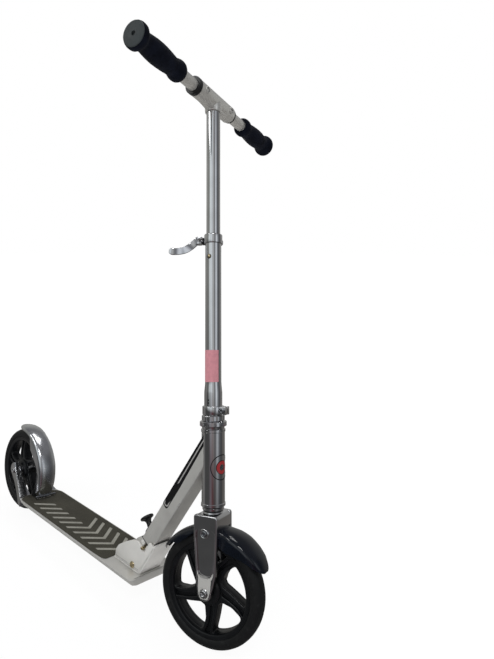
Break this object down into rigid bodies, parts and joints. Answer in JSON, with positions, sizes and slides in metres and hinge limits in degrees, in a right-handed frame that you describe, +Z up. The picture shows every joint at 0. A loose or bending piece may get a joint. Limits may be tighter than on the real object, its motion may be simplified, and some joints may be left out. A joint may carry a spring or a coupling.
{
  "type": "kick scooter",
  "caption": "Folding kick scooter with large wheels, a flat grip deck, a fold lock with a pull knob, a height-adjustable bar, a rear fender brake and a side stand.",
  "frame": {"origin": "on the ground, in the middle of the scooter's box seen from above", "axes": "+X forward, +Y to the rider's left, +Z up"},
  "size_m": [0.8589, 0.4384, 0.974],
  "materials": {
    "chrome_plate": "mirror polished",
    "polished_aluminium": "polished",
    "satin_aluminium": "satin anodised",
    "cast_aluminium": "satin, cast",
    "steel": "zinc plated",
    "brass": "polished",
    "grip_sheet": "gritty sheet",
    "black_plastic": "smooth",
    "gloss_black": "glossy",
    "wheel_plastic": "satin",
    "tyre": "matte",
    "foam_grip": "soft foam",
    "end_cap": "matte"
  },
  "bodies": {
    "deck_group": {"deck": "satin_aluminium", "grip_sheet": "grip_sheet", "rear_arm_right": "polished_aluminium", "rear_arm_left": "polished_aluminium", "rear_axle_bolt": "chrome_plate", "rear_axle_nut": "chrome_plate", "fender_pin": "steel", "fender_spring": "steel", "kickstand_bracket": "steel", "kickstand_bolt": "steel", "hinge_bracket": "cast_aluminium", "fold_pivot_bolt": "brass"},
    "rear_wheel_group": {"rear_tyre": "tyre", "rear_wheel_core": "wheel_plastic", "rear_bearing_right": "steel", "rear_bearing_left": "steel"},
    "brake_group": {"rear_fender": "polished_aluminium"},
    "stand_group": {"kickstand_leg": "steel", "kickstand_foot": "black_plastic"},
    "neck_group": {"hinge_foot": "cast_aluminium", "foot_cover": "black_plastic", "down_tube": "satin_aluminium", "head_tube": "chrome_plate", "headset_cup_lower": "chrome_plate", "headset_cup_upper": "chrome_plate"},
    "knob_group": {"lock_knob": "black_plastic"},
    "lock_pin_group": {"lock_pin": "brass"},
    "steering_group": {"fork": "chrome_plate", "front_fender": "gloss_black", "fender_bolt_right": "chrome_plate", "fender_bolt_left": "chrome_plate", "lower_tube": "chrome_plate", "headset_locknut": "steel", "lower_clamp": "steel", "lower_clamp_bolt": "steel", "height_collar": "chrome_plate", "collar_bolt": "steel", "collar_washer": "black_plastic", "front_axle_bolt": "chrome_plate", "front_axle_nut": "chrome_plate"},
    "front_wheel_group": {"front_tyre": "tyre", "front_wheel_core": "wheel_plastic", "front_bearing_right": "steel", "front_bearing_left": "steel"},
    "handlebar_group": {"upper_tube": "chrome_plate", "guide_bush": "black_plastic", "handlebar_tube": "satin_aluminium", "t_clamp": "satin_aluminium", "t_clamp_bolt_right": "steel", "t_clamp_bolt_left": "steel", "clamp_ring_right": "black_plastic", "clamp_ring_left": "black_plastic", "grip_right": "foam_grip", "grip_left": "foam_grip", "end_cap_right": "end_cap", "end_cap_left": "end_cap"},
    "button_group": {"snap_button": "brass"},
    "lever_group": {"collar_lever": "chrome_plate"}
  },
  "joints": [
    {"name": "fold", "type": "hinge", "parent": "deck_group", "child": "neck_group", "pos_m": [0.1468, 0, 0.066], "axis": [0, 1, 0], "range_deg": [-83, 0]},
    {"name": "steer", "type": "hinge", "parent": "neck_group", "child": "steering_group", "pos_m": [0.3334, 0, 0.1], "axis": [-0.1702, 0, 0.9854], "range_deg": [-91.8, 68.2]},
    {"name": "front_spin", "type": "hinge", "parent": "steering_group", "child": "front_wheel_group", "pos_m": [0.33081, -0.00053, 0.10006], "axis": [-0.2015, 0.9789, -0.0348], "continuous": true},
    {"name": "rear_spin", "type": "hinge", "parent": "deck_group", "child": "rear_wheel_group", "pos_m": [-0.3292, 0, 0.1], "axis": [0, 1, 0], "continuous": true},
    {"name": "brake", "type": "hinge", "parent": "deck_group", "child": "brake_group", "pos_m": [-0.2277, 0, 0.064], "axis": [0, 1, 0], "range_deg": [-2.3, 0], "stiffness_Nm_per_rad": 10, "springref_deg": 5.73},
    {"name": "stand_swing", "type": "hinge", "parent": "deck_group", "child": "stand_group", "pos_m": [0.0528, 0.036, 0.034], "axis": [0, 0.0872, 0.9962], "range_deg": [0, 90]},
    {"name": "knob_pull", "type": "slide", "parent": "neck_group", "child": "knob_group", "axis": [-0.7071, 0, 0.7071], "range_m": [0, 0.004], "stiffness_N_per_m": 500, "springref_m": -0.006},
    {"name": "pin_lift", "type": "slide", "parent": "neck_group", "child": "lock_pin_group", "axis": [0.471, 0, 0.8821], "range_m": [0, 0.004]},
    {"name": "height", "type": "slide", "parent": "steering_group", "child": "handlebar_group", "axis": [-0.1702, 0, 0.9854], "range_m": [-0.205, 0]},
    {"name": "button_press", "type": "slide", "parent": "steering_group", "child": "button_group", "axis": [-0.2015, 0.9789, -0.0348], "range_m": [0, 0.0029], "stiffness_N_per_m": 400, "springref_m": -0.004},
    {"name": "lever_swing", "type": "hinge", "parent": "steering_group", "child": "lever_group", "pos_m": [0.20189, -0.00635, 0.69302], "axis": [-0.1702, 0, 0.9854], "range_deg": [0, 90]}
  ],
  "couplings": [
    {"joint": "pin_lift", "follows": "knob_pull", "ratio": 1}
  ]
}
